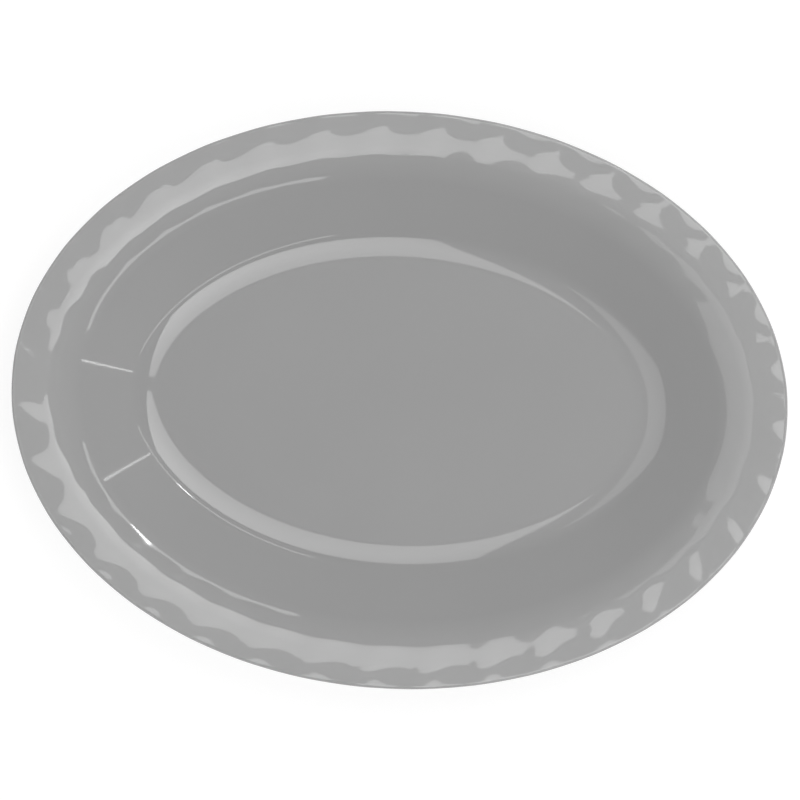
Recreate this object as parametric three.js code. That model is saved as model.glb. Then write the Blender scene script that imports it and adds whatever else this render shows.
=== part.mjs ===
// Oval serving platter with a fluted rim: one pressed clay body under a coat of glaze.
// Millimetres, +Z up, +X along the length. The origin is the centre of the plane the foot ring stands on.

import * as THREE from "three";

// Driving dimensions, over the finished glaze unless a line says clay
const LENGTH = 406; // lip to lip along X
const WIDTH = 302; // lip to lip along Y
const HEIGHT = 45; // table to the top of the lip

const RIM_WIDTH = 31; // lip to the crease where the wall begins, in plan
const BEND_INSET = 20.5; // lip to the bend between the cone and the brim, in plan
const SHOULDER_INSET = 8.5; // lip to the shoulder where the brim levels out, in plan
const CONE_ANGLE = 30; // slope of the rim from the crease to the bend, degrees
const BRIM_ANGLE = 12.5; // slope of the rim from the bend to the shoulder, degrees
const LIP_ANGLE = 1.5; // slope of the rim at the lip, degrees

const WALL_SPREAD = 46.5; // crease to the flat floor, in plan
const WELL_FILLET = 31; // radius between floor and wall, clay

const LIP_THICKNESS = 2.2; // clay at the lip, which is a full round
const WALL_THICKNESS = 3.8; // clay from the crease down
const FLOOR_THICKNESS = 4.2; // clay under the flat floor

const FLUTE_COUNT = 36; // shallow flutes round the rim, which swirl on their way inwards
const FLUTE_DEPTH = 1; // at the lip, below the crests between flutes
const FLUTE_REACH = 24; // lip to the inner end of a flute, in plan
const FLUTE_FADE = 1.2; // power by which a flute fades on its way inwards
const FLUTE_SWIRL = 0.5; // way along the lip for each step inwards
const FLUTE_START = 0.05; // place of the first flute at the lip, in flutes from the +X end

const FOOT_HEIGHT = 4.5; // table to the clay ceiling of the recess inside the foot ring
const FOOT_SPREAD = 4.5; // edge of the flat floor to the outer edge of the foot ring, in plan
const FOOT_WIDTH = 6; // the foot ring at the table, clay
const FOOT_DRAFT = 1; // how far each side of the foot ring leans out on its way up
const FOOT_EDGE = 0.8; // rounding where the foot ring meets the table
const FOOT_FILLET = 2; // hollow where the foot ring meets the underside

const GLAZE_THICKNESS = 0.4;
const GLAZE_GAP = 0.3; // clearance between the clay and the glaze coat
const GLAZE_LINE = 1.8; // the glaze stops this high above the table, on both sides of the foot ring

// How finely the curves are cut
const FACETS_PER_FLUTE = 4;
const PLAIN_FACETS_PER_FLUTE = 2; // for rings where the flutes have all but faded
const PLAIN_FADE = 0.25; // share of the flute depth below which a ring counts as plain
const FILLET_STEPS = 3;
const BEND_STEPS = 2;
const LIP_STEPS = 4;
const HOLLOW_STEPS = 2;
const OUTLINE_DIVISIONS = 4000;

const GLAZE_COLOUR = 0x9b9b9b;
const GLAZE_ROUGHNESS = 0.1;
const CLAY_COLOUR = 0xcfc8bb;
const CLAY_ROUGHNESS = 0.85;

const coat = GLAZE_GAP + GLAZE_THICKNESS;
const floorInset = RIM_WIDTH + WALL_SPREAD;
const footInset = floorInset - FOOT_SPREAD;
const floorHeight = FOOT_HEIGHT + FLOOR_THICKNESS;
const lipHeight = HEIGHT - coat;
const lipRadius = LIP_THICKNESS / 2;

// Profile
// A profile is a list of points in the plane of a cross-section: x is the inset from the lip, y the height.
// It runs from the middle of the face out to the lip and back underneath, so the air is on its right.

const middle = (height) => new THREE.Vector2(WIDTH / 2, height);
const halfway = (a, b) => a.clone().lerp(b, 0.5);

// The point further in that a line of this slope reaches at an inset.
function below(point, inset, degrees) {
  const drop = (inset - point.x) * Math.tan(THREE.MathUtils.degToRad(degrees));
  return new THREE.Vector2(inset, point.y - drop);
}

// Corners that lead the rim
const crown = new THREE.Vector2(coat + lipRadius, lipHeight);
const shoulder = below(crown, SHOULDER_INSET, LIP_ANGLE);
const bend = below(shoulder, BEND_INSET, BRIM_ANGLE);
const crease = below(bend, RIM_WIDTH, CONE_ANGLE);

// Flat floor, fillet and straight wall, up to the crease.
function wellProfile() {
  const centre = new THREE.Vector2(floorInset, floorHeight + WELL_FILLET);
  const toCrease = crease.clone().sub(centre);
  const turn = Math.acos(WELL_FILLET / toCrease.length());
  const wallAngle = toCrease.angle() + turn;
  const fillet = new THREE.EllipseCurve(
    centre.x, centre.y, WELL_FILLET, WELL_FILLET, 1.5 * Math.PI, wallAngle, true,
  );
  return [middle(floorHeight), ...fillet.getPoints(FILLET_STEPS), crease];
}

// The rim leaves the crease as a cone, then rounds the bend and the shoulder on its way to the lip.
function rimProfile() {
  const brim = halfway(bend, shoulder);
  const roundBend = new THREE.QuadraticBezierCurve(halfway(crease, bend), bend, brim);
  const roundShoulder = new THREE.QuadraticBezierCurve(brim, shoulder, crown);
  return [...roundBend.getPoints(BEND_STEPS), ...roundShoulder.getPoints(BEND_STEPS).slice(1)];
}

// Half a turn round the lip, from its top to its underside.
function lipProfile() {
  const lip = new THREE.EllipseCurve(
    crown.x, crown.y - lipRadius, lipRadius, lipRadius, 0.5 * Math.PI, 1.5 * Math.PI, false,
  );
  return lip.getPoints(LIP_STEPS).slice(1);
}

// Clay thickness at an inset: it grows from the lip to the crease, and again towards the floor.
function thicknessAt(inset) {
  if (inset < crease.x) {
    return THREE.MathUtils.mapLinear(inset, crown.x, crease.x, LIP_THICKNESS, WALL_THICKNESS);
  }
  return THREE.MathUtils.mapLinear(inset, crease.x, floorInset, WALL_THICKNESS, FLOOR_THICKNESS);
}

// Moves each point of a profile along its own normal, into the air by the distance given for that point.
function offsetProfile(profile, distanceAt) {
  const last = profile.length - 1;
  return profile.map((point, i) => {
    const along = profile[Math.min(i + 1, last)].clone().sub(point).normalize();
    along.add(point.clone().sub(profile[Math.max(i - 1, 0)]).normalize()).normalize();
    return point.clone().addScaledVector(new THREE.Vector2(along.y, -along.x), distanceAt(point));
  });
}

// The point of a profile at an inset. The profile runs inwards.
function pointAt(profile, inset) {
  const next = profile.findIndex((point) => point.x > inset);
  const from = profile[next - 1];
  const to = profile[next];
  return from.clone().lerp(to, (inset - from.x) / (to.x - from.x));
}

// One side of the foot ring: a hollow from a point on the underside down to the glaze line.
// side is -1 for the outer side and 1 for the inner one.
function footSide(side, start) {
  const edge = side < 0 ? footInset : footInset + FOOT_WIDTH;
  const onSide = (height) => {
    const lean = THREE.MathUtils.mapLinear(height, FOOT_EDGE, FOOT_HEIGHT, 0, FOOT_DRAFT);
    return new THREE.Vector2(edge + side * lean, height);
  };
  const hollow = new THREE.QuadraticBezierCurve(start, onSide(start.y), onSide(GLAZE_LINE));
  return hollow.getPoints(HOLLOW_STEPS);
}

// Underside of the rim and wall, then the outer side of the foot ring.
function backProfile() {
  const face = [...wellProfile(), bend, shoulder, crown];
  const underside = offsetProfile(face, (point) => -thicknessAt(point.x)).reverse();
  const start = pointAt(underside, footInset - FOOT_DRAFT - FOOT_FILLET);
  const free = underside.slice(1).filter((point) => point.x < start.x);
  return [...free, ...footSide(-1, start)];
}

// The bare foot, between the glaze lines.
function footProfile() {
  const far = footInset + FOOT_WIDTH;
  return [
    new THREE.Vector2(footInset, FOOT_EDGE),
    new THREE.Vector2(footInset + FOOT_EDGE, 0),
    new THREE.Vector2(far - FOOT_EDGE, 0),
    new THREE.Vector2(far, FOOT_EDGE),
  ];
}

// Inner side of the foot ring and the ceiling of the recess.
function recessProfile() {
  const start = new THREE.Vector2(footInset + FOOT_WIDTH + FOOT_DRAFT + FOOT_FILLET, FOOT_HEIGHT);
  return [...footSide(1, start).reverse(), middle(FOOT_HEIGHT)];
}

// Loft
const outline = new THREE.EllipseCurve(0, 0, LENGTH / 2, WIDTH / 2, 0, 2 * Math.PI, false);
outline.arcLengthDivisions = OUTLINE_DIVISIONS;
const flutePitch = outline.getLength() / FLUTE_COUNT;

// Share of the flute depth that is left at an inset.
const fluteFade = (inset) => Math.max(0, 1 - inset / FLUTE_REACH) ** FLUTE_FADE;

// Depth of the flutes below the crests, at a share of the way round the lip and at an inset.
function fluteDrop(share, inset) {
  const swirl = (FLUTE_SWIRL * inset) / flutePitch;
  const turn = 2 * Math.PI * (share * FLUTE_COUNT - FLUTE_START - swirl);
  return FLUTE_DEPTH * fluteFade(inset) * (0.5 + 0.5 * Math.cos(turn));
}

// One closed ring of points that runs parallel to the outline, at the inset and height of a profile point.
// The flutes are those of the clay at the inset given, so every coat follows the clay below it.
function ringAt(point, clayInset) {
  const fluted = fluteFade(clayInset) > PLAIN_FADE;
  const count = FLUTE_COUNT * (fluted ? FACETS_PER_FLUTE : PLAIN_FACETS_PER_FLUTE);
  return Array.from({ length: count }, (_, i) => {
    const share = i / count;
    const at = outline.getPointAt(share);
    const along = outline.getTangentAt(share);
    return new THREE.Vector3(
      at.x - along.y * point.x,
      at.y + along.x * point.x,
      point.y - fluteDrop(share, clayInset),
    );
  });
}

// Joins two rings with triangles, always along the shorter diagonal. A single point has no edges to join.
function stitch(ring, next, addTriangle) {
  const at = (points, i) => points[i % points.length];
  const edges = (points) => (points.length > 1 ? points.length : 0);
  let i = 0;
  let j = 0;
  while (i < edges(ring) || j < edges(next)) {
    const stepRing = at(ring, i + 1).distanceTo(at(next, j));
    const stepNext = at(ring, i).distanceTo(at(next, j + 1));
    if (j === edges(next) || (i < edges(ring) && stepRing <= stepNext)) {
      addTriangle(at(ring, i), at(next, j), at(ring, i + 1));
      i += 1;
    } else {
      addTriangle(at(ring, i), at(next, j), at(next, j + 1));
      j += 1;
    }
  }
}

// Sweeps a profile round the outline. Its first and last points lie on the middle axis and close the solid.
// Each point of the profile has its point of the clay, from which it takes the flutes.
function loft(profile, clayProfile) {
  const corners = [];
  const addTriangle = (...points) => points.forEach((p) => corners.push(p.x, p.y, p.z));
  const rings = profile.map((point, i) => ringAt(point, clayProfile[i].x)).slice(1, -1);
  const pole = (point) => [new THREE.Vector3(0, 0, point.y)];
  const bands = [pole(profile[0]), ...rings, pole(profile.at(-1))];
  bands.slice(1).forEach((band, i) => stitch(bands[i], band, addTriangle));
  const geometry = new THREE.BufferGeometry();
  geometry.setAttribute("position", new THREE.Float32BufferAttribute(corners, 3));
  geometry.computeVertexNormals();
  return geometry;
}

// Parts
const outside = [...wellProfile(), ...rimProfile(), ...lipProfile(), ...backProfile()];
const recess = recessProfile();
const body = [...outside, ...footProfile(), ...recess];

const glaze = new THREE.MeshStandardMaterial({
  color: GLAZE_COLOUR, roughness: GLAZE_ROUGHNESS, metalness: 0,
});
const clay = new THREE.MeshStandardMaterial({
  color: CLAY_COLOUR, roughness: CLAY_ROUGHNESS, metalness: 0,
});

function part(name, geometry, material) {
  const mesh = new THREE.Mesh(geometry, material);
  mesh.name = name;
  return mesh;
}

// A thin closed shell that follows a stretch of the clay's profile, which starts or ends on the middle axis.
function coatGeometry(stretch) {
  const outer = offsetProfile(stretch, () => coat);
  const inner = offsetProfile(stretch, () => GLAZE_GAP).reverse();
  const back = stretch.toReversed();
  if (stretch[0].equals(middle(stretch[0].y))) {
    return loft([...outer, ...inner], [...stretch, ...back]);
  }
  return loft([...inner, ...outer], [...back, ...stretch]);
}

const glazing = new THREE.Group();
glazing.add(part("glaze_coat", coatGeometry(outside), glaze));
glazing.add(part("base_glaze", coatGeometry(recess), glaze));

const platter = new THREE.Group();
platter.add(part("clay_body", loft(body, body), clay));
platter.add(glazing);

export default platter;
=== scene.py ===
"""Looks of an oval serving platter: grey glaze over a clay body with a fluted rim, and its studio."""

import math

import bpy
import numpy as np
from bpy.props import FloatProperty, FloatVectorProperty, IntProperty, PointerProperty
from mathutils import Euler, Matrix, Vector


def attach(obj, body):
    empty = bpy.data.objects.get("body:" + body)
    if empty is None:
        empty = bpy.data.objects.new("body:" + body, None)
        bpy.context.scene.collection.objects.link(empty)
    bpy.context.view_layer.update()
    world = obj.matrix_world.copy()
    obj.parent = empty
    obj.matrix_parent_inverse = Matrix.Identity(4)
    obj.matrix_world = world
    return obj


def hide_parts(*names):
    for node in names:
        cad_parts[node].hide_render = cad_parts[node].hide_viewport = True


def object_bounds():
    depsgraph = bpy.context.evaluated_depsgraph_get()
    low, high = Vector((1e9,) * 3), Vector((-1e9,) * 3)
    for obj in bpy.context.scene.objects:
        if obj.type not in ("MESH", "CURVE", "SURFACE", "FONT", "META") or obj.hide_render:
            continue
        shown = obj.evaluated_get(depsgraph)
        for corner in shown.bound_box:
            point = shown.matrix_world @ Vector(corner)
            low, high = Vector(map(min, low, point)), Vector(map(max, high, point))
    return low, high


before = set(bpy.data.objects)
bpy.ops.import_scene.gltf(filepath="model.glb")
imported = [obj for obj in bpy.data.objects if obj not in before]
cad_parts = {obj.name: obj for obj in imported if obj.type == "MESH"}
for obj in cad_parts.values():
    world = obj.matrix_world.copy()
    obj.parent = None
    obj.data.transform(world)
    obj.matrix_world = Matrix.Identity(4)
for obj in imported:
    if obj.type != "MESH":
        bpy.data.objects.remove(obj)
CAD_LOW, CAD_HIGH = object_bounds()

bl_info = {
    "name": "Oval Serving Platter",
    "version": (1, 0, 0),
    "blender": (4, 5, 0),
    "location": "View3D > Sidebar > Platter",
    "description": "Builds a glazed oval platter with a fluted rim, and the studio it stands in",
    "category": "Object",
}

SENSOR_WIDTH = 36.0  # millimetres, as the camera counts its lens


def length(name, description, default):
    """A size in metres."""
    return FloatProperty(
        name=name, description=description, default=default, unit="LENGTH", precision=4
    )


def angle(name, description, degrees):
    """An angle, given in degrees and kept in radians."""
    return FloatProperty(
        name=name, description=description, default=math.radians(degrees), subtype="ANGLE"
    )


def share(name, description, default):
    """A plain factor."""
    return FloatProperty(name=name, description=description, default=default, precision=3)


def colour(name, description, default):
    """A linear colour."""
    return FloatVectorProperty(
        name=name, description=description, default=default, size=3, min=0, max=1, subtype="COLOR"
    )


class PlatterSizes(bpy.types.PropertyGroup):
    """Sizes of the platter. Heights count from the table, insets from the lip in plan."""

    length: length("Length", "Lip to lip along X", CAD_HIGH.x - CAD_LOW.x)
    width: length("Width", "Lip to lip along Y", CAD_HIGH.y - CAD_LOW.y)
    height: length("Height", "Table to the top of the lip", CAD_HIGH.z)

    rim_width: length("Rim width", "Lip to the crease where the wall begins", 0.031)
    bend_inset: length("Bend inset", "Lip to the bend between cone and brim", 0.02)
    shoulder_inset: length("Shoulder inset", "Lip to where the brim levels out", 0.007)
    cone_angle: angle("Cone angle", "Slope of the rim between crease and bend", 30.0)
    brim_angle: angle("Brim angle", "Slope of the rim outside the bend", 12.5)
    lip_angle: angle("Lip angle", "Slope of the rim at the lip", 2.0)
    crease_reach: length("Crease reach", "Half length of the rounding at the crease", 0.0042)
    bend_reach: length("Bend reach", "Half length of the rounding at the bend", 0.0036)
    shoulder_reach: length("Shoulder reach", "Half length of the rounding at the shoulder", 0.005)

    floor_inset: length("Floor inset", "Lip to the edge of the flat floor", 0.0775)
    well_fillet: length("Well fillet", "Radius between floor and wall, clay", 0.031)

    lip_thickness: length("Lip thickness", "Clay at the lip, which is a full round", 0.0022)
    wall_thickness: length("Wall thickness", "Clay from the crease down", 0.0038)
    floor_thickness: length("Floor thickness", "Clay under the flat floor", 0.0042)

    flute_count: IntProperty(name="Flutes", description="Flutes round the rim", default=36)
    flute_depth: length("Flute depth", "At the lip, below the crests between flutes", 0.00095)
    flute_reach: length("Flute reach", "Lip to the inner end of a flute", 0.031)
    flute_fade: share("Flute fade", "Power by which a flute fades inwards", 1.5)
    flute_crest: share("Flute crest", "Power by which a crest is narrower than a flute", 1.5)
    flute_swirl: share("Flute swirl", "Way along the lip for each step inwards", 0.5)
    flute_start: share("Flute start", "Place of the first flute at the lip, in flutes", 0.05)
    petal_rise: length("Petal rise", "How far each flute swells up near the bend", 0.00016)
    petal_inset: length("Petal inset", "Lip to the top of the swelling", 0.0165)
    petal_reach: length("Petal reach", "Half length of the swelling", 0.0092)
    swing: length("Bend swing", "How far the bend swings in and out with the flutes", 0.0003)
    swing_out: length("Swing outwards", "From the bend out to where the swing ends", 0.008)
    swing_in: length("Swing inwards", "From the bend in to where the swing ends", 0.0105)

    foot_height: length("Foot height", "Table to the clay ceiling inside the foot ring", 0.0045)
    foot_inset: length("Foot inset", "Lip to the outer edge of the foot ring", 0.073)
    foot_width: length("Foot width", "The foot ring at the table", 0.006)
    foot_draft: length("Foot draft", "How far each side of the foot leans out", 0.001)
    foot_edge: length("Foot edge", "Rounding where the foot meets the table", 0.0008)
    foot_fillet: length("Foot fillet", "Hollow where the foot meets the underside", 0.002)

    glaze_thickness: length("Glaze thickness", "Thickness of the glaze coat", 0.0004)
    glaze_gap: length("Glaze gap", "Clearance between clay and glaze", 0.0003)
    glaze_line: length("Glaze line", "Height at which the glaze stops on the foot", 0.0018)
    glaze_waver: length("Glaze waver", "How far the glaze line wanders up and down", 0.00025)


class PlatterFinish(bpy.types.PropertyGroup):
    """Colours of the platter."""

    glaze: colour("Glaze", "Grey of the glaze", (0.332, 0.332, 0.332))
    clay: colour("Clay", "Bare fired clay", (0.62, 0.57, 0.49))


class PlatterStudio(bpy.types.PropertyGroup):
    """Camera, lamps and floor."""

    camera_height: length("Camera height", "Table to the camera", 1.9)
    view_width: length("View width", "Width of the picture at the lip", 0.41763)
    view_turn: angle("View turn", "How far the camera is turned about the vertical", 3.0)
    view_tilt: angle("View tilt", "How far the camera stands off the vertical, towards -Y", 1.54)
    view_offset: FloatVectorProperty(
        name="View offset",
        description="Place of the camera's axis beside the platter's middle",
        default=(0.00026, -0.00028),
        size=2,
        subtype="XYZ",
        unit="LENGTH",
        precision=5,
    )
    lamp_height: length("Lamp height", "Table to the plane of the softboxes", 2.0)
    softbox_glow: share("Softbox glow", "Brightness of the softboxes, where 1 is white", 3.35)
    panel_glow: share("Panel glow", "Brightness of the fill panel, where 1 is white", 0.75)
    room_glow: share("Room glow", "Brightness of the room, where 1 is white", 0.3)
    floor: colour("Floor", "Floor as it lights the platter", (0.8, 0.8, 0.8))


# Outline and flutes


def hill(place, before, after):
    """A smooth rise to 1 at place 0, with its own length on each side."""
    off = min(1.0, abs(place) / (before if place < 0 else after))
    return 0.5 + 0.5 * math.cos(math.pi * off)


class Oval:
    """The lip's oval, walked at equal steps, with the flutes that swirl inwards from it."""

    TABLE_STEPS = 20000  # chords that measure the way round
    # Strength, waves round the oval and start in radians of each wave in the glaze line
    WAVER = ((0.6, 7, 1.1), (0.3, 19, 0.4), (0.2, 43, 2.3))

    def __init__(self, sizes, facets_per_flute):
        self.sizes = sizes
        count = sizes.flute_count * facets_per_flute
        turn = np.linspace(0, 2 * math.pi, self.TABLE_STEPS + 1)
        half = np.array([sizes.length / 2, sizes.width / 2])
        dense = np.stack([half[0] * np.cos(turn), half[1] * np.sin(turn)], axis=1)
        walked = np.concatenate([[0], np.cumsum(np.linalg.norm(np.diff(dense, axis=0), axis=1))])
        self.round_length = walked[-1]
        self.share = np.arange(count) / count
        at = np.interp(self.share * self.round_length, walked, turn)
        self.points = np.stack([half[0] * np.cos(at), half[1] * np.sin(at)], axis=1)
        along = np.stack([-half[0] * np.sin(at), half[1] * np.cos(at)], axis=1)
        along /= np.linalg.norm(along, axis=1, keepdims=True)
        self.inward = np.stack([-along[:, 1], along[:, 0]], axis=1)

    def crests(self, inset):
        """From 0 in the flutes to 1 on the crests between them, all the way round at one inset."""
        sizes = self.sizes
        pitch = self.round_length / sizes.flute_count
        swirl = sizes.flute_start + sizes.flute_swirl * max(inset, 0) / pitch
        return 0.5 - 0.5 * np.cos(2 * math.pi * (self.share * sizes.flute_count - swirl))

    def flute_drop(self, inset):
        """Depth of the flutes below the crests, all the way round at one inset."""
        sizes = self.sizes
        fade = max(0.0, 1 - max(inset, 0) / sizes.flute_reach) ** sizes.flute_fade
        near_petal = hill(inset - sizes.petal_inset, sizes.petal_reach, sizes.petal_reach)
        depth = sizes.flute_depth * fade - sizes.petal_rise * near_petal
        return depth * (1 - self.crests(inset) ** sizes.flute_crest)

    def bend_swing(self, inset):
        """How far the bend swings inwards on the crests and outwards in the flutes."""
        sizes = self.sizes
        near_bend = hill(inset - sizes.bend_inset, sizes.swing_out, sizes.swing_in)
        return sizes.swing * near_bend * (2 * self.crests(inset) - 1)

    def glaze_waver(self, height):
        """How far the glaze's edge wanders, fading out above the glaze line."""
        sizes = self.sizes
        turn = 2 * math.pi * self.share
        wander = sum(part * np.sin(waves * turn + start) for part, waves, start in self.WAVER)
        fade_height = 2 * sizes.glaze_line
        near = min(1.0, max(0.0, (fade_height - height) / sizes.glaze_line))
        return sizes.glaze_waver * near * wander

    def ring(self, point, wavering):
        """One closed ring along the lip, at the inset and height of a profile point."""
        inset, height = point
        plan = self.points + self.inward * (inset + self.bend_swing(inset))[:, None]
        level = height - self.flute_drop(inset)
        if wavering:
            level = level + self.glaze_waver(height)
        return np.column_stack([plan, level])


# Profile
# A profile is a list of points (inset, height). It runs from the middle of the face out to the lip
# and back underneath, so the air is on its right.


def arc(centre, radius, start, end, steps):
    """Points on a circle from one angle to another."""
    turns = np.linspace(start, end, steps + 1)
    return [(centre[0] + radius * math.cos(a), centre[1] + radius * math.sin(a)) for a in turns]


def bow(start, corner, end, steps):
    """Points on a quadratic curve that starts and ends along the lines to its corner."""
    points = []
    for t in np.linspace(0, 1, steps + 1):
        a, b, c = (1 - t) ** 2, 2 * t * (1 - t), t**2
        points.append(tuple(a * s + b * k + c * e for s, k, e in zip(start, corner, end)))
    return points


def towards(start, end, distance):
    """The point at a distance from start on the line to end."""
    whole = math.dist(start, end)
    return tuple(s + (e - s) * distance / whole for s, e in zip(start, end))


def between(start, end, steps):
    """Points on a straight line, without its two ends."""
    return [
        tuple(s + (e - s) * i / steps for s, e in zip(start, end)) for i in range(1, steps)
    ]


class Section:
    """The platter's cross-section, cut as finely as detail says."""

    # Steps of each stretch where the detail is 1
    FILLET_STEPS = 8
    LINE_STEPS = 2
    CORNER_STEPS = 3
    LIP_STEPS = 5
    FOOT_STEPS = 4
    EDGE_STEPS = 2

    def __init__(self, sizes, detail):
        self.sizes = sizes
        self.detail = detail
        self.coat = sizes.glaze_gap + sizes.glaze_thickness
        self.lip_radius = sizes.lip_thickness / 2
        self.floor_height = sizes.foot_height + sizes.floor_thickness
        self.crown = (self.coat + self.lip_radius, sizes.height - self.coat)
        self.shoulder = self.below(self.crown, sizes.shoulder_inset, sizes.lip_angle)
        self.bend = self.below(self.shoulder, sizes.bend_inset, sizes.brim_angle)
        self.crease = self.below(self.bend, sizes.rim_width, sizes.cone_angle)

    @staticmethod
    def below(point, inset, slope):
        """The point further in that a line of this slope reaches at an inset."""
        return inset, point[1] - (inset - point[0]) * math.tan(slope)

    def face(self):
        """Floor, fillet, wall and rim, up to the crown of the lip."""
        sizes, detail = self.sizes, self.detail
        centre = (sizes.floor_inset, self.floor_height + sizes.well_fillet)
        reach = (self.crease[0] - centre[0], self.crease[1] - centre[1])
        turn = math.acos(sizes.well_fillet / math.hypot(*reach))
        wall = math.atan2(reach[1], reach[0]) + turn
        fillet_end = wall % (2 * math.pi)
        fillet_steps = self.FILLET_STEPS * detail
        fillet = arc(centre, sizes.well_fillet, 1.5 * math.pi, fillet_end, fillet_steps)
        points = list(fillet)
        corners = [fillet[-1], self.crease, self.bend, self.shoulder, self.crown]
        reaches = [0, sizes.crease_reach, sizes.bend_reach, sizes.shoulder_reach, 0]
        for i in range(1, len(corners) - 1):
            here = corners[i]
            start = towards(here, corners[i - 1], reaches[i])
            end = towards(here, corners[i + 1], reaches[i])
            points += between(points[-1], start, self.LINE_STEPS * detail)
            points += bow(start, here, end, self.CORNER_STEPS * detail)
        points += between(points[-1], self.crown, self.LINE_STEPS * detail)
        return points + [self.crown]

    def lip(self):
        """Half a turn round the lip, from its top to its underside."""
        centre = (self.crown[0], self.crown[1] - self.lip_radius)
        steps = self.LIP_STEPS * self.detail
        return arc(centre, self.lip_radius, 0.5 * math.pi, 1.5 * math.pi, steps)[1:]

    def thickness(self, inset):
        """Clay thickness: it grows from the lip to the crease, and again towards the floor."""
        sizes = self.sizes
        return float(
            np.interp(
                inset,
                [self.crown[0], self.crease[0], sizes.floor_inset],
                [sizes.lip_thickness, sizes.wall_thickness, sizes.floor_thickness],
            )
        )

    def foot_side(self, side, start, corner_height):
        """One side of the foot ring, from a point on the underside down to the glaze line."""
        sizes = self.sizes
        edge = sizes.foot_inset if side < 0 else sizes.foot_inset + sizes.foot_width

        def on_side(height):
            """The point of the leaning side at a height."""
            climb = (height - sizes.foot_edge) / (sizes.foot_height - sizes.foot_edge)
            return edge + side * sizes.foot_draft * climb, height

        steps = self.FOOT_STEPS * self.detail
        return bow(start, on_side(corner_height), on_side(sizes.glaze_line), steps)

    def back(self):
        """Underside of the rim and wall, then the outer side of the foot ring."""
        sizes = self.sizes
        under = shifted(self.face(), lambda point: -self.thickness(point[0]))[::-1]
        stop = sizes.foot_inset - sizes.foot_draft - sizes.foot_fillet
        free = [point for point in under[1:] if point[0] < stop]
        insets, heights = zip(*under)
        start = (stop, float(np.interp(stop, insets, heights)))
        return free + self.foot_side(-1, start, start[1])

    def outside(self):
        """Everything the upper coat of glaze covers, from the edge of the floor to the foot."""
        return self.face() + self.lip() + self.back()

    def foot(self):
        """The bare foot between the glaze lines, with rounded edges."""
        sizes, edge = self.sizes, self.sizes.foot_edge
        near, far = sizes.foot_inset, sizes.foot_inset + sizes.foot_width
        steps = self.EDGE_STEPS * self.detail
        outer = arc((near + edge, edge), edge, math.pi, 1.5 * math.pi, steps)
        inner = arc((far - edge, edge), edge, 1.5 * math.pi, 2 * math.pi, steps)
        return outer + inner

    def recess(self):
        """Inner side of the foot ring and the edge of the ceiling inside it."""
        sizes = self.sizes
        far = sizes.foot_inset + sizes.foot_width + sizes.foot_draft + sizes.foot_fillet
        start = (far, sizes.foot_height)
        return self.foot_side(1, start, sizes.foot_height)[::-1]


def shifted(profile, distance_at):
    """Moves each point of a profile along its normal, into the air by its own distance."""
    points = np.array(profile)
    steps = np.diff(points, axis=0)
    steps /= np.linalg.norm(steps, axis=1, keepdims=True)
    along = np.vstack([steps[:1], steps[:-1] + steps[1:], steps[-1:]])
    along /= np.linalg.norm(along, axis=1, keepdims=True)
    normals = np.column_stack([along[:, 1], -along[:, 0]])
    far = np.array([distance_at(point) for point in profile])
    return [tuple(p) for p in points + normals * far[:, None]]


def rolled_edge(start, end, steps):
    """A half round between the two skins of a coat, bulging along the coat."""
    middle = ((start[0] + end[0]) / 2, (start[1] + end[1]) / 2)
    radius = math.dist(start, end) / 2
    first = math.atan2(start[1] - middle[1], start[0] - middle[0])
    return arc(middle, radius, first, first - math.pi, steps)[1:-1]


# Mesh

POLE_RINGS = 6  # rings that carry a flat floor to its middle


def loft(name, oval, profile, wavering):
    """Sweeps a profile round the oval, and closes its two ends with flat floors."""
    rings = [oval.ring(point, wavering) for point in profile]
    first, last = rings[0], rings[-1]
    shrink = [i / POLE_RINGS for i in range(1, POLE_RINGS)]
    towards_middle = [np.column_stack([first[:, :2] * k, first[:, 2]]) for k in shrink]
    from_middle = [np.column_stack([last[:, :2] * k, last[:, 2]]) for k in reversed(shrink)]
    rings = towards_middle + rings + from_middle
    count = len(first)
    poles = np.array([[0, 0, first[:, 2].mean()], [0, 0, last[:, 2].mean()]])
    points = np.vstack(rings + [poles])
    start_pole, end_pole = len(points) - 2, len(points) - 1
    here = np.arange(count)
    after = np.roll(here, -1)
    faces = []
    for i in range(len(rings) - 1):
        low, high = i * count, (i + 1) * count
        faces += np.column_stack([low + here, high + here, high + after, low + after]).tolist()
    top = (len(rings) - 1) * count
    faces += [(start_pole, a, b) for a, b in zip(here.tolist(), after.tolist())]
    faces += [(end_pole, top + b, top + a) for a, b in zip(here.tolist(), after.tolist())]
    mesh = bpy.data.meshes.new(name)
    mesh.from_pydata(points.tolist(), [], faces)
    mesh.validate()
    mesh.shade_smooth()
    piece = bpy.data.objects.new(name, mesh)
    bpy.context.scene.collection.objects.link(piece)
    return piece


def carry(piece, node, material):
    """Puts a finished piece on the frame in place of a CAD node."""
    piece.data.materials.append(material)
    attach(piece, "root")
    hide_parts(node)


# Shader nodes


def worked_out(tree, operation, first, second):
    """The result of a maths node on two sockets."""
    node = tree.nodes.new("ShaderNodeMath")
    node.operation = operation
    tree.links.new(first, node.inputs[0])
    tree.links.new(second, node.inputs[1])
    return node.outputs["Value"]


def mapped(tree, value, source, target, blend="LINEAR"):
    """A value carried from one range to another, and held beyond its ends."""
    node = tree.nodes.new("ShaderNodeMapRange")
    node.interpolation_type = blend
    labels = ("From Min", "From Max", "To Min", "To Max")
    for label, number in zip(labels, (*source, *target)):
        node.inputs[label].default_value = number
    tree.links.new(value, node.inputs["Value"])
    return node.outputs["Result"]


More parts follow.
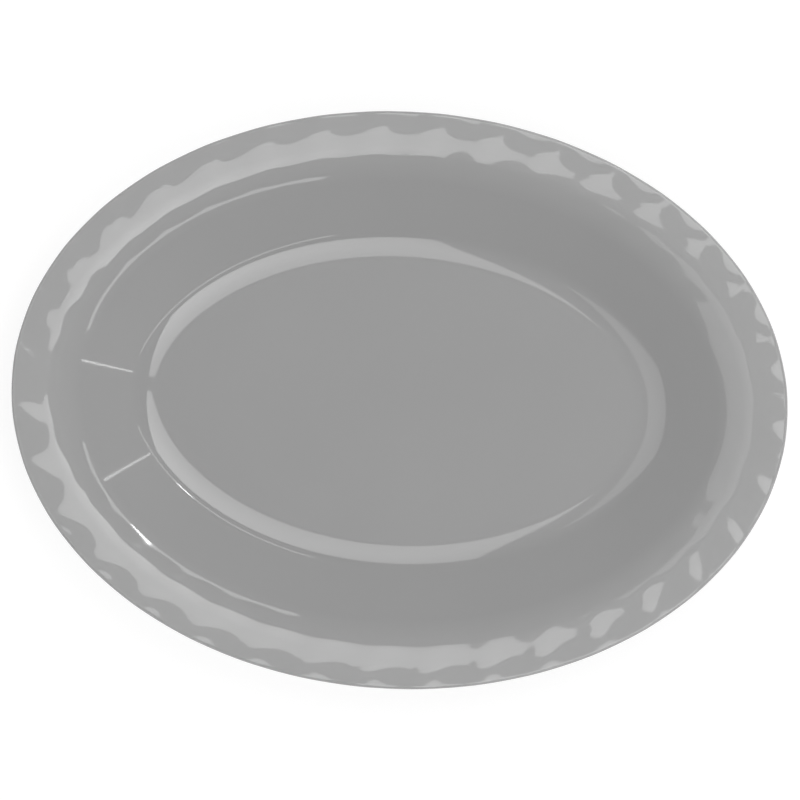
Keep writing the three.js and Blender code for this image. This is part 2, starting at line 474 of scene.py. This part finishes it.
def blended(tree, factor, first, second):
    """A colour that runs with a factor from the first to the second. Either may be a socket."""
    node = tree.nodes.new("ShaderNodeMix")
    node.data_type = "RGBA"
    tree.links.new(factor, node.inputs["Factor"])
    for label, end in (("A", first), ("B", second)):
        if isinstance(end, bpy.types.NodeSocket):
            tree.links.new(end, node.inputs[label])
        else:
            node.inputs[label].default_value = (*end, 1)
    return node.outputs["Result"]


def distance_from_middle(tree):
    """The distance of each point from the middle of its own object."""
    place = tree.nodes.new("ShaderNodeTexCoord")
    far = tree.nodes.new("ShaderNodeVectorMath")
    far.operation = "LENGTH"
    tree.links.new(place.outputs["Object"], far.inputs[0])
    return far.outputs["Value"]


# Finishes


def group_of(name, inputs, outputs):
    """An empty shader node group with plain number sockets, and its two end nodes."""
    tree = bpy.data.node_groups.new(name, "ShaderNodeTree")
    for label, default in inputs.items():
        socket = tree.interface.new_socket(label, in_out="INPUT", socket_type="NodeSocketFloat")
        socket.default_value = default
    for label in outputs:
        tree.interface.new_socket(label, in_out="OUTPUT", socket_type="NodeSocketFloat")
    return tree, tree.nodes.new("NodeGroupInput"), tree.nodes.new("NodeGroupOutput")


def kiln_speckle():
    """Cloudy tone, a mask of small pits and a fine ripple, as a fired surface has them. The pits are
    the glaze's pinholes, painted dark with the shade inside them, and the clay's dark grog.
    """
    name = "Kiln speckle"
    if name in bpy.data.node_groups:
        return bpy.data.node_groups[name]
    inputs = {"Cloud Scale": 20, "Pit Scale": 80, "Pit Size": 0.05, "Ripple Scale": 150}
    tree, given, result = group_of(name, inputs, ("Cloud", "Pit Shade And Grog", "Ripple"))
    nodes, links = tree.nodes, tree.links
    place = nodes.new("ShaderNodeTexCoord")

    def noise(label, detail):
        """Puts out a soft noise under this label."""
        texture = nodes.new("ShaderNodeTexNoise")
        texture.inputs["Detail"].default_value = detail
        links.new(place.outputs["Object"], texture.inputs["Vector"])
        links.new(given.outputs[label + " Scale"], texture.inputs["Scale"])
        links.new(texture.outputs["Fac"], result.inputs[label])

    noise("Cloud", detail=4)
    noise("Ripple", detail=2)

    # A pit fills the middle of each cell, and its size differs from cell to cell
    cells = nodes.new("ShaderNodeTexVoronoi")
    links.new(place.outputs["Object"], cells.inputs["Vector"])
    links.new(given.outputs["Pit Scale"], cells.inputs["Scale"])
    chosen = nodes.new("ShaderNodeSeparateColor")
    links.new(cells.outputs["Color"], chosen.inputs["Color"])
    size = worked_out(tree, "MULTIPLY", chosen.outputs["Red"], given.outputs["Pit Size"])
    pit_shade_and_grog = worked_out(tree, "LESS_THAN", cells.outputs["Distance"], size)
    links.new(pit_shade_and_grog, result.inputs["Pit Shade And Grog"])
    return tree


class Finish:
    """A material with one Principled shader and the kiln speckle that varies it."""

    def __init__(self, name, speckle):
        self.material = bpy.data.materials.new(name)
        self.material.use_nodes = True
        self.tree = self.material.node_tree
        self.shader = self.tree.nodes["Principled BSDF"]
        self.speckle = self.tree.nodes.new("ShaderNodeGroup")
        self.speckle.node_tree = kiln_speckle()
        for label, value in speckle.items():
            self.speckle.inputs[label].default_value = value

    def tone(self, base, darkest, lightest, pit_shade_and_grog):
        """Colours the surface by factors of the base, for the ends of the cloud and for the pits. In
        the glaze the pit factor is painted shade inside pinholes, and in the clay it is the colour of
        dark grog.
        """
        dark, light, pit_shade_and_grog_colour = (tuple(c * k for c in base) for k in (darkest, lightest, pit_shade_and_grog))
        clouded = blended(self.tree, self.speckle.outputs["Cloud"], dark, light)
        toned = blended(self.tree, self.speckle.outputs["Pit Shade And Grog"], clouded, pit_shade_and_grog_colour)
        self.tree.links.new(toned, self.shader.inputs["Base Color"])

    def paint_rim_light(self, low, high, factor):
        """Makes the tone paler between two heights, up to this factor: painted light, brighter
        towards the rim.
        """
        place = self.tree.nodes.new("ShaderNodeTexCoord")
        axes = self.tree.nodes.new("ShaderNodeSeparateXYZ")
        self.tree.links.new(place.outputs["Object"], axes.inputs["Vector"])
        climb = mapped(self.tree, axes.outputs["Z"], (low, high), (1, factor))
        paler = self.tree.nodes.new("ShaderNodeVectorMath")
        paler.operation = "SCALE"
        base = self.shader.inputs["Base Color"]
        self.tree.links.new(base.links[0].from_socket, paler.inputs["Vector"])
        self.tree.links.new(climb, paler.inputs["Scale"])
        self.tree.links.new(paler.outputs["Vector"], base)

    def gloss(self, smooth, rough):
        """Roughness that follows the cloud between two values."""
        roughness = mapped(self.tree, self.speckle.outputs["Cloud"], (0, 1), (smooth, rough))
        self.tree.links.new(roughness, self.shader.inputs["Roughness"])

    def ripple(self, depth):
        """A bump of the ripple, its full height given in metres."""
        bump = self.tree.nodes.new("ShaderNodeBump")
        bump.inputs["Distance"].default_value = depth
        self.tree.links.new(self.speckle.outputs["Ripple"], bump.inputs["Height"])
        self.tree.links.new(bump.outputs["Normal"], self.shader.inputs["Normal"])


def grey_glaze():
    """Smooth grey glaze with a faint cloudiness, a slight ripple and a few pinholes, painted dark
    with the shade inside them.
    """
    name = "Grey glaze"
    if name in bpy.data.materials:
        return bpy.data.materials[name]
    scene = bpy.context.scene
    speckle = {"Cloud Scale": 14, "Pit Scale": 26, "Pit Size": 0.012, "Ripple Scale": 60}
    finish = Finish(name, speckle)
    finish.shader.inputs["IOR"].default_value = 1.65
    # Pinholes at 0.4 of the grey: painted shade inside them
    finish.tone(scene.platter_finish.glaze, darkest=0.97, lightest=1.03, pit_shade_and_grog=0.4)
    height = scene.platter_sizes.height
    # Painted light: the tone grows up to 1.12 times paler from 0.72 to 0.95 of the height
    finish.paint_rim_light(low=0.72 * height, high=0.95 * height, factor=1.12)
    finish.gloss(smooth=0.03, rough=0.06)
    finish.ripple(depth=0.00002)
    return finish.material


def fired_clay():
    """Dry pale clay with sandy grain and dark grog."""
    speckle = {"Cloud Scale": 60, "Pit Scale": 700, "Pit Size": 0.35, "Ripple Scale": 1500}
    finish = Finish("Fired clay", speckle)
    finish.tone(bpy.context.scene.platter_finish.clay, darkest=0.82, lightest=1.1, pit_shade_and_grog=0.55)
    finish.gloss(smooth=0.75, rough=0.95)
    finish.ripple(depth=0.0002)
    return finish.material


# Operators

ROLL_STEPS = 6  # round the edge of a coat


class PLATTER_OT_glaze_coat(bpy.types.Operator):
    """Make the glaze that covers the well, the rim and the back, down to the foot"""

    bl_idname = "platter.glaze_coat"
    bl_label = "Glaze Coat"

    def execute(self, context):
        sizes = context.scene.platter_sizes
        section = Section(sizes, detail=3)
        outer = shifted(section.outside(), lambda point: section.coat)
        hidden = Section(sizes, detail=1)
        inner = shifted(hidden.outside(), lambda point: sizes.glaze_gap)[::-1]
        profile = outer + rolled_edge(outer[-1], inner[0], ROLL_STEPS) + inner
        oval = Oval(sizes, facets_per_flute=11)
        piece = loft("glazed_face_and_back", oval, profile, wavering=True)
        carry(piece, "glaze_coat", grey_glaze())
        return {"FINISHED"}


class PLATTER_OT_base_glaze(bpy.types.Operator):
    """Make the glaze inside the foot ring"""

    bl_idname = "platter.base_glaze"
    bl_label = "Base Glaze"

    def execute(self, context):
        sizes = context.scene.platter_sizes
        section = Section(sizes, detail=3)
        recess = section.recess()
        outer = shifted(recess, lambda point: section.coat)
        inner = shifted(recess, lambda point: sizes.glaze_gap)[::-1]
        profile = inner + rolled_edge(inner[-1], outer[0], ROLL_STEPS) + outer
        oval = Oval(sizes, facets_per_flute=8)
        piece = loft("glazed_base", oval, profile, wavering=True)
        carry(piece, "base_glaze", grey_glaze())
        return {"FINISHED"}


class PLATTER_OT_clay_body(bpy.types.Operator):
    """Make the clay body, which shows at the bare foot ring"""

    bl_idname = "platter.clay_body"
    bl_label = "Clay Body"

    def execute(self, context):
        sizes = context.scene.platter_sizes
        section = Section(sizes, detail=2)
        profile = section.outside() + section.foot() + section.recess()
        oval = Oval(sizes, facets_per_flute=8)
        piece = loft("fired_body", oval, profile, wavering=False)
        carry(piece, "clay_body", fired_clay())
        return {"FINISHED"}


class PLATTER_OT_stage(bpy.types.Operator):
    """Make the floor, the room, the lamps and the camera"""

    bl_idname = "platter.stage"
    bl_label = "Stage"

    def execute(self, context):
        studio = context.scene.platter_studio
        context.scene.view_settings.view_transform = "Standard"
        make_floor(studio)
        make_room(studio)
        make_lamps(studio)
        make_camera(context.scene, studio)
        return {"FINISHED"}


# Stage

FLOOR_HALF = 15.0  # metres from its middle to each side
FLOOR_CLEARANCE = 0.0001  # keeps the foot ring out of the floor's plane
FLOOR_SEEN = (0.25, 0.25, 0.25)  # paint that carries the shadow in what is seen
FLOOR_GLOW = 0.82  # what the seen floor lacks in lamp light to be white
FLOOR_LIT = (1.5, 4.0)  # metres between which the lamp light runs out


def seen_directly(tree):
    """A value that is 1 for rays from the camera, from gloss and through glass, else 0."""
    path = tree.nodes.new("ShaderNodeLightPath")
    value = path.outputs["Is Camera Ray"]
    for label in ("Is Glossy Ray", "Is Transmission Ray"):
        value = worked_out(tree, "MAXIMUM", value, path.outputs[label])
    return value


def make_floor(studio):
    """A floor that is seen as white with a soft shadow, and is clear from below."""
    half = FLOOR_HALF
    corners = [(-half, -half), (half, -half), (half, half), (-half, half)]
    mesh = bpy.data.meshes.new("floor")
    mesh.from_pydata([(x, y, -FLOOR_CLEARANCE) for x, y in corners], [], [(0, 1, 2, 3)])
    floor = bpy.data.objects.new("floor", mesh)
    mesh.materials.append(pale_floor(studio))
    bpy.context.scene.collection.objects.link(floor)


def pale_floor(studio):
    """Matt paint, with a glow where it is seen that makes up for what it lacks to be white."""
    material = bpy.data.materials.new("Pale floor")
    material.use_nodes = True
    tree = material.node_tree
    tree.nodes.clear()
    seen = seen_directly(tree)
    matt = tree.nodes.new("ShaderNodeBsdfDiffuse")
    paint = blended(tree, seen, studio.floor, FLOOR_SEEN)
    tree.links.new(paint, matt.inputs["Color"])
    white = tree.nodes.new("ShaderNodeEmission")
    glow = mapped(tree, distance_from_middle(tree), FLOOR_LIT, (FLOOR_GLOW, 1))
    tree.links.new(glow, white.inputs["Color"])
    tree.links.new(seen, white.inputs["Strength"])
    lit = tree.nodes.new("ShaderNodeAddShader")
    tree.links.new(matt.outputs["BSDF"], lit.inputs[0])
    tree.links.new(white.outputs["Emission"], lit.inputs[1])
    side = tree.nodes.new("ShaderNodeNewGeometry")
    clear = tree.nodes.new("ShaderNodeBsdfTransparent")
    facing = tree.nodes.new("ShaderNodeMixShader")
    tree.links.new(side.outputs["Backfacing"], facing.inputs["Fac"])
    tree.links.new(lit.outputs["Shader"], facing.inputs[1])
    tree.links.new(clear.outputs["BSDF"], facing.inputs[2])
    result = tree.nodes.new("ShaderNodeOutputMaterial")
    tree.links.new(facing.outputs["Shader"], result.inputs["Surface"])
    return material


ROOM_CLIMB = (-0.3, 0, 1)  # the way in which the mirrored room grows dim
ROOM_DIM_ABOVE = math.radians(35)
ROOM_WHITE_BELOW = math.radians(-10)


def make_room(studio):
    """A dim even room that is seen as white, and mirrored as paler towards the horizon."""
    world = bpy.data.worlds.new("Room")
    bpy.context.scene.world = world
    world.use_nodes = True
    tree = world.node_tree
    tree.nodes.clear()
    way = tree.nodes.new("ShaderNodeTexCoord")
    climb = tree.nodes.new("ShaderNodeVectorMath")
    climb.operation = "DOT_PRODUCT"
    climb.inputs[1].default_value = ROOM_CLIMB
    tree.links.new(way.outputs["Generated"], climb.inputs[0])
    fade = (math.sin(ROOM_DIM_ABOVE), math.sin(ROOM_WHITE_BELOW))
    horizon = mapped(tree, climb.outputs["Value"], fade, (0, 1))
    path = tree.nodes.new("ShaderNodeLightPath")
    mirrored = worked_out(tree, "MULTIPLY", horizon, path.outputs["Is Glossy Ray"])
    pale = worked_out(tree, "MAXIMUM", mirrored, path.outputs["Is Camera Ray"])
    tint = blended(tree, pale, (studio.room_glow,) * 3, (1, 1, 1))
    light = tree.nodes.new("ShaderNodeBackground")
    tree.links.new(tint, light.inputs["Color"])
    result = tree.nodes.new("ShaderNodeOutputWorld")
    tree.links.new(light.outputs["Background"], result.inputs["Surface"])


# Lamps
# The level lamps overhead have their places given as steps sideways for each step up from the table.

ARC_POINTS = 25  # on the round side of a softbox
SOFTBOX_FADE = 1.1  # how far from its brightest place a softbox has grown dim
SOFTBOX_DIM = 0.5  # share of its light that is left there
STAND_DISTANCE = 2.5  # metres from the platter to each lamp that stands near the horizon


def softbox(name, place, turn, size, glow):
    """A rectangular lamp at a place in metres, whose front glows at this brightness."""
    lamp = bpy.data.lights.new(name, "AREA")
    lamp.shape = "RECTANGLE"
    lamp.size, lamp.size_y = size
    lamp.energy = glow * math.pi * size[0] * size[1]
    holder = bpy.data.objects.new(name, lamp)
    holder.location = place
    holder.rotation_euler = turn
    holder.visible_camera = False
    bpy.context.scene.collection.objects.link(holder)


def overhead(name, low, high, height, glow):
    """A level rectangular lamp between two corners."""
    middle = [(a + b) / 2 * height for a, b in zip(low, high)]
    size = [(b - a) * height for a, b in zip(low, high)]
    softbox(name, (*middle, height), Euler(), size, glow)


def shaped_softbox(name, edge, turns, radius, brightest, height, glow):
    """A level softbox: a bent edge near the camera, and an arc between two turns in degrees."""
    outline = [Vector(point) for point in edge]
    for turn in np.linspace(math.radians(turns[0]), math.radians(turns[1]), ARC_POINTS):
        outline.append(Vector((math.cos(turn), math.sin(turn))) * radius)
    middle = Vector(brightest)
    points = [((point - middle) * height).to_3d() for point in outline]
    mesh = bpy.data.meshes.new(name)
    mesh.from_pydata(points, [], [tuple(range(len(points)))])
    mesh.materials.append(lamp_front(name, glow, SOFTBOX_FADE * height))
    front = bpy.data.objects.new(name, mesh)
    front.location = (*(middle * height), height)
    front.visible_camera = False
    bpy.context.scene.collection.objects.link(front)


def lamp_front(name, glow, radius):
    """Light from a softbox, full at its brightest place and dim from this distance on."""
    material = bpy.data.materials.new(name)
    material.use_nodes = True
    tree = material.node_tree
    tree.nodes.clear()
    away = distance_from_middle(tree)
    fall = mapped(tree, away, (0, radius), (glow, SOFTBOX_DIM * glow), blend="SMOOTHSTEP")
    light = tree.nodes.new("ShaderNodeEmission")
    tree.links.new(fall, light.inputs["Strength"])
    result = tree.nodes.new("ShaderNodeOutputMaterial")
    tree.links.new(light.outputs["Emission"], result.inputs["Surface"])
    return material


def standing(name, around, down, size, glow):
    """A lamp that faces the platter, at degrees around it and degrees down from overhead."""
    around, down = math.radians(around), math.radians(down)
    aside = math.sin(down)
    way = Vector((math.cos(around) * aside, math.sin(around) * aside, math.cos(down)))
    turn = way.to_track_quat("Z", "Y").to_euler()
    softbox(name, way * STAND_DISTANCE, turn, size, glow)


def make_lamps(studio):
    """Softboxes and a dim panel overhead, and low lamps that the crease and the wall mirror."""
    height, glow = studio.lamp_height, studio.softbox_glow
    shaped_softbox(
        "softbox_far",
        edge=[(-0.09, 0.21), (0.32, 0.045), (0.49, 0.045)],
        turns=(40, 101),
        radius=1.1,
        brightest=(0.7, 0.6),
        height=height,
        glow=glow,
    )
    shaped_softbox(
        "softbox_near",
        edge=[(-0.085, -0.135), (0.1, -0.14), (0.22, -0.025), (0.48, -0.05)],
        turns=(-42, -94),
        radius=1.1,
        brightest=(0.65, -0.7),
        height=height,
        glow=glow,
    )
    overhead(
        "fill_panel",
        low=(-1.6, -0.8),
        high=(-0.35, 0.8),
        height=height,
        glow=studio.panel_glow,
    )
    standing("low_lamp", around=55, down=58.2, size=(0.2, 0.08), glow=14)
    standing("strip_far", around=53, down=57.8, size=(2.2, 0.12), glow=2)
    standing("strip_near", around=-50, down=56, size=(2.4, 0.12), glow=2)
    standing("slit_left", around=-8, down=67, size=(0.03, 0.4), glow=6)
    standing("slit_right", around=39, down=67, size=(0.03, 0.34), glow=4.5)


def make_camera(scene, studio):
    """A camera almost straight above the platter, framed by the width that it sees at the lip."""
    data = bpy.data.cameras.new("camera")
    data.sensor_width = SENSOR_WIDTH
    lip = scene.platter_sizes.height
    above_lip = studio.camera_height - lip
    data.lens = SENSOR_WIDTH * above_lip / studio.view_width
    camera = bpy.data.objects.new("camera", data)
    turn = Euler((studio.view_tilt, 0, studio.view_turn), "XYZ")
    back = Vector((0, 0, above_lip))
    back.rotate(turn)
    camera.location = Vector((*studio.view_offset, lip)) + back
    camera.rotation_euler = turn
    scene.collection.objects.link(camera)
    scene.camera = camera


class PLATTER_PT_sidebar(bpy.types.Panel):
    """Sizes, finishes and stage of the platter"""

    bl_idname = "PLATTER_PT_sidebar"
    bl_label = "Oval Serving Platter"
    bl_space_type = "VIEW_3D"
    bl_region_type = "UI"
    bl_category = "Platter"

    def draw(self, context):
        for group in GROUPS:
            box = self.layout.box()
            for name in GROUPS[group].__annotations__:
                box.prop(getattr(context.scene, group), name)
        for operator in OPERATORS:
            self.layout.operator(operator.bl_idname)


GROUPS = {
    "platter_sizes": PlatterSizes,
    "platter_finish": PlatterFinish,
    "platter_studio": PlatterStudio,
}
OPERATORS = (
    PLATTER_OT_glaze_coat,
    PLATTER_OT_base_glaze,
    PLATTER_OT_clay_body,
    PLATTER_OT_stage,
)
CLASSES = (*GROUPS.values(), *OPERATORS, PLATTER_PT_sidebar)


def register():
    """Adds the classes and their properties."""
    for cls in CLASSES:
        bpy.utils.register_class(cls)
    for name, cls in GROUPS.items():
        setattr(bpy.types.Scene, name, PointerProperty(type=cls))


def unregister():
    """Takes them away again."""
    for name in GROUPS:
        delattr(bpy.types.Scene, name)
    for cls in reversed(CLASSES):
        bpy.utils.unregister_class(cls)


def main():
    """Builds the platter and its stage."""
    register()
    bpy.ops.platter.glaze_coat()
    bpy.ops.platter.base_glaze()
    bpy.ops.platter.clay_body()
    bpy.ops.platter.stage()


if __name__ == "__main__":
    main()
